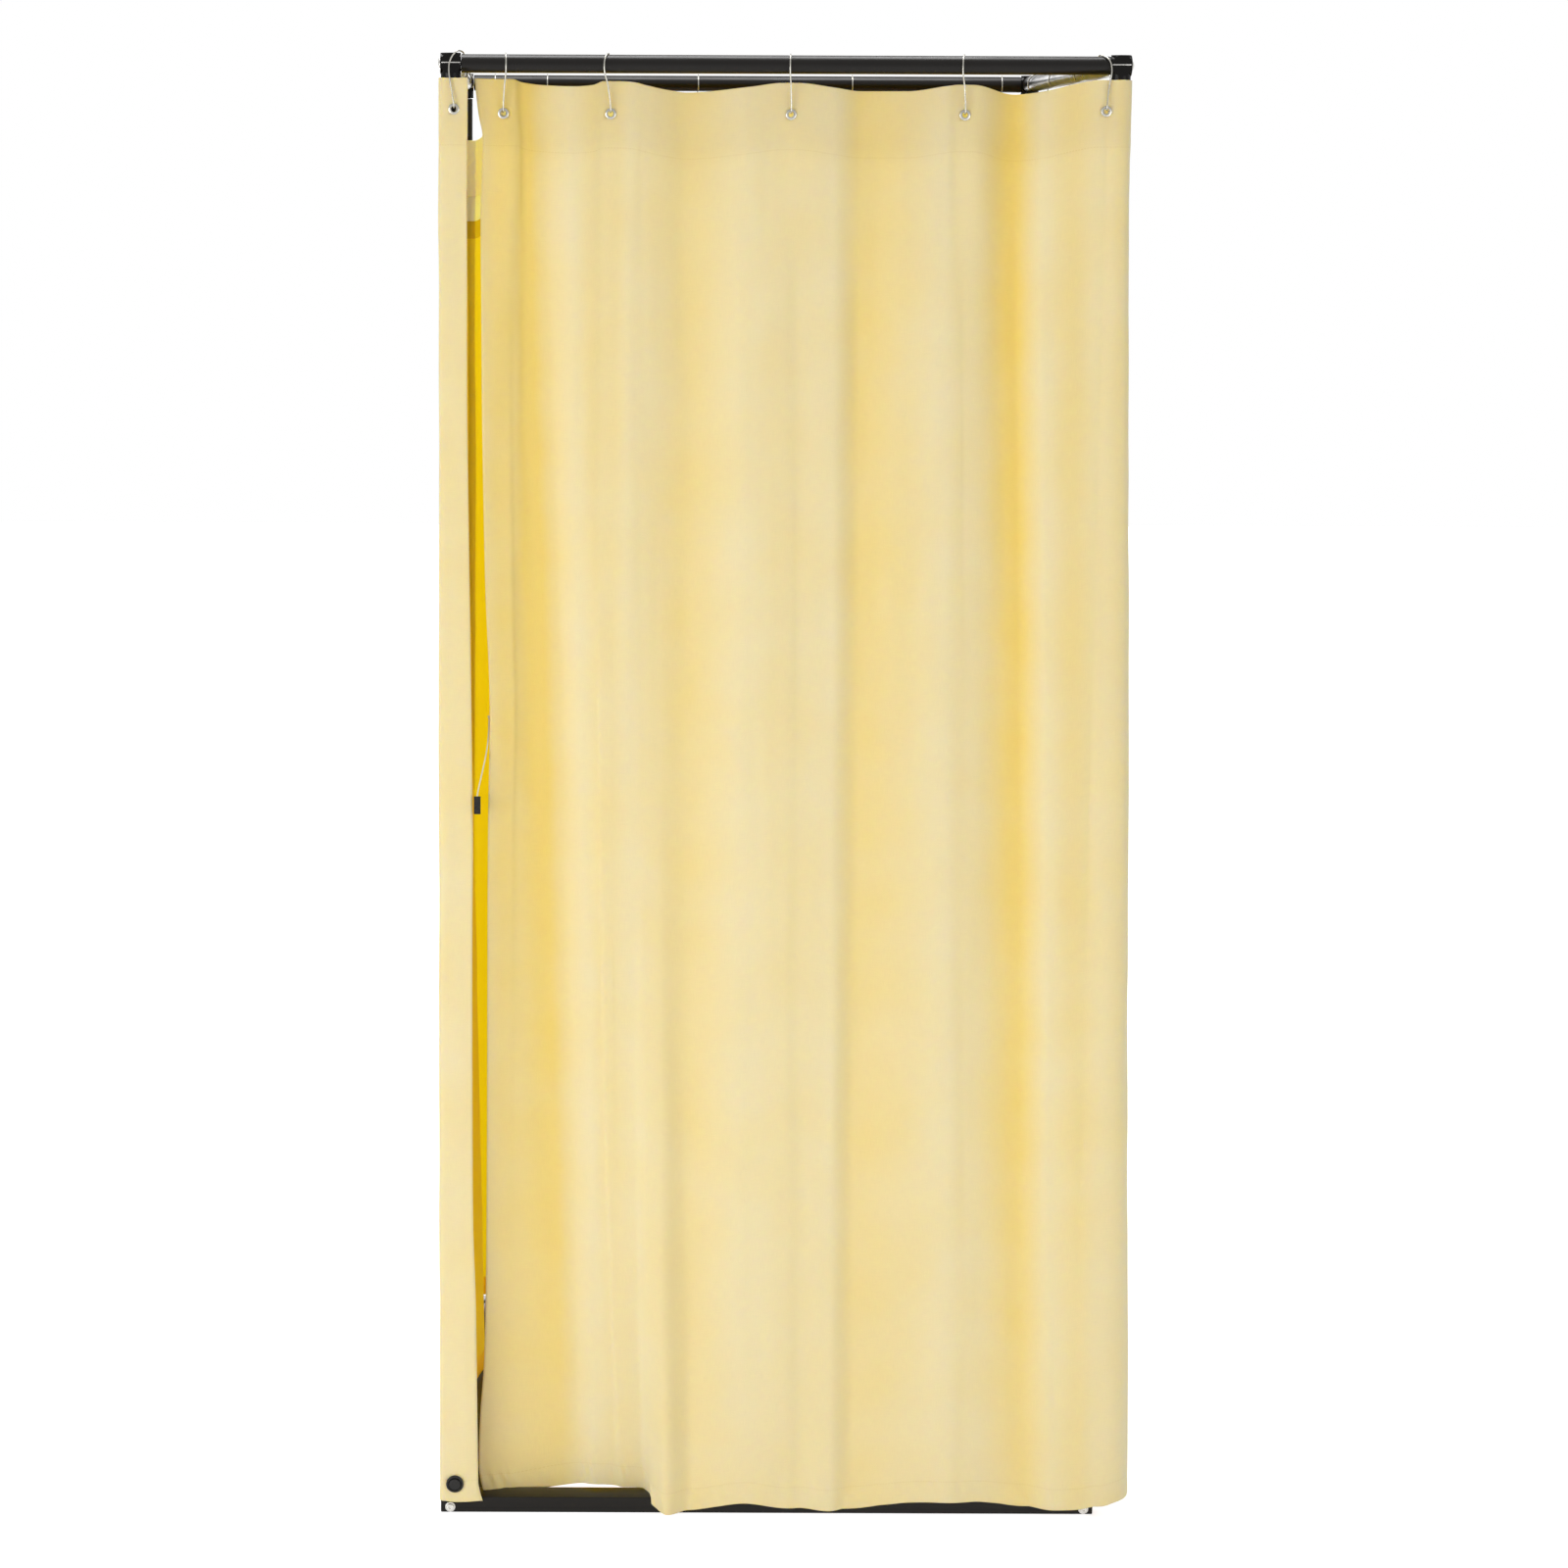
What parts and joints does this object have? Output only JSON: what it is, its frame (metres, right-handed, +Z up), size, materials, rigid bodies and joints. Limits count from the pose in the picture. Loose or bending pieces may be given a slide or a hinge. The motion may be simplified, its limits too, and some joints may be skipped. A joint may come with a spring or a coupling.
{
  "type": "portable fitting room",
  "caption": "Free-standing square fitting room: a black tube frame on a flat base, hung all round with a cream curtain on wire hooks that slides open at the front.",
  "frame": {"origin": "middle of the underside of the box that holds the whole object, on the floor", "axes": "+Z up, -Y towards the front where the curtain opens, +X to the right seen from the front"},
  "size_m": [0.9546, 0.923, 1.9869],
  "materials": {
    "black_satin": "satin",
    "black_gloss": "gloss",
    "bolt_steel": "satin",
    "hook_wire": "polished",
    "cream_cloth": "matte",
    "black_plastic": "satin",
    "cream_cord": "matte"
  },
  "bodies": {
    "frame": {"front_rail": "black_satin", "back_rail": "black_satin", "left_rail": "black_satin", "right_rail": "black_satin", "corner_post_front_left": "black_satin", "corner_post_front_right": "black_satin", "corner_post_back_left": "black_satin", "corner_post_back_right": "black_satin", "corner_joint_front_left": "black_gloss", "corner_joint_front_right": "black_gloss", "corner_joint_back_left": "black_gloss", "corner_joint_back_right": "black_gloss", "corner_bolt_front_left": "bolt_steel", "corner_bolt_front_right": "bolt_steel", "corner_bolt_back_left": "bolt_steel", "corner_bolt_back_right": "bolt_steel", "base_front_bar": "black_satin", "base_back_bar": "black_satin", "base_left_runner": "black_satin", "base_right_runner": "black_satin", "base_bolt_front_left": "bolt_steel", "base_bolt_front_right": "bolt_steel", "base_bolt_back_left": "bolt_steel", "base_bolt_back_right": "bolt_steel", "curtain_front": "cream_cloth", "curtain_left": "cream_cloth", "curtain_back": "cream_cloth", "curtain_right": "cream_cloth", "front_hook_5": "hook_wire", "front_eyelet_5": "hook_wire", "strip_hook": "hook_wire", "strip_eyelet": "hook_wire", "magnet_backing": "black_plastic", "left_hook_1": "hook_wire", "left_hook_2": "hook_wire", "left_hook_3": "hook_wire", "left_hook_4": "hook_wire", "back_hook_1": "hook_wire", "back_hook_2": "hook_wire", "back_hook_3": "hook_wire", "back_hook_4": "hook_wire", "back_hook_5": "hook_wire", "right_hook_1": "hook_wire", "right_hook_2": "hook_wire", "right_hook_3": "hook_wire", "right_hook_4": "hook_wire"},
    "lead_hook": {"front_hook_1": "hook_wire", "front_eyelet_1": "hook_wire"},
    "second_hook": {"front_hook_2": "hook_wire", "front_eyelet_2": "hook_wire"},
    "third_hook": {"front_hook_3": "hook_wire", "front_eyelet_3": "hook_wire"},
    "fourth_hook": {"front_hook_4": "hook_wire", "front_eyelet_4": "hook_wire"},
    "curtain_edge": {"closing_cord": "cream_cord", "cord_clip": "black_plastic"},
    "magnet": {"magnet_button": "black_plastic"}
  },
  "joints": [
    {"name": "curtain_slide", "type": "slide", "parent": "frame", "child": "lead_hook", "axis": [1, 0, 0], "range_m": [0, 0.565], "deforming": ["curtain_front"]},
    {"name": "second_hook_slide", "type": "slide", "parent": "frame", "child": "second_hook", "axis": [1, 0, 0], "range_m": [0, 0.4642]},
    {"name": "third_hook_slide", "type": "slide", "parent": "frame", "child": "third_hook", "axis": [1, 0, 0], "range_m": [0, 0.2945]},
    {"name": "fourth_hook_slide", "type": "slide", "parent": "frame", "child": "fourth_hook", "axis": [1, 0, 0], "range_m": [0, 0.1311]},
    {"name": "curtain_edge_slide", "type": "slide", "parent": "frame", "child": "curtain_edge", "axis": [1, 0, 0], "range_m": [0, 0.5777]},
    {"name": "magnet_pull", "type": "slide", "parent": "frame", "child": "magnet", "axis": [0, -1, 0], "range_m": [0, 0.03]}
  ],
  "couplings": [
    {"joint": "second_hook_slide", "follows": "curtain_slide", "ratio": 0.82147},
    {"joint": "third_hook_slide", "follows": "curtain_slide", "ratio": 0.52113},
    {"joint": "fourth_hook_slide", "follows": "curtain_slide", "ratio": 0.23192},
    {"joint": "curtain_edge_slide", "follows": "curtain_slide", "ratio": 1.0222}
  ]
}
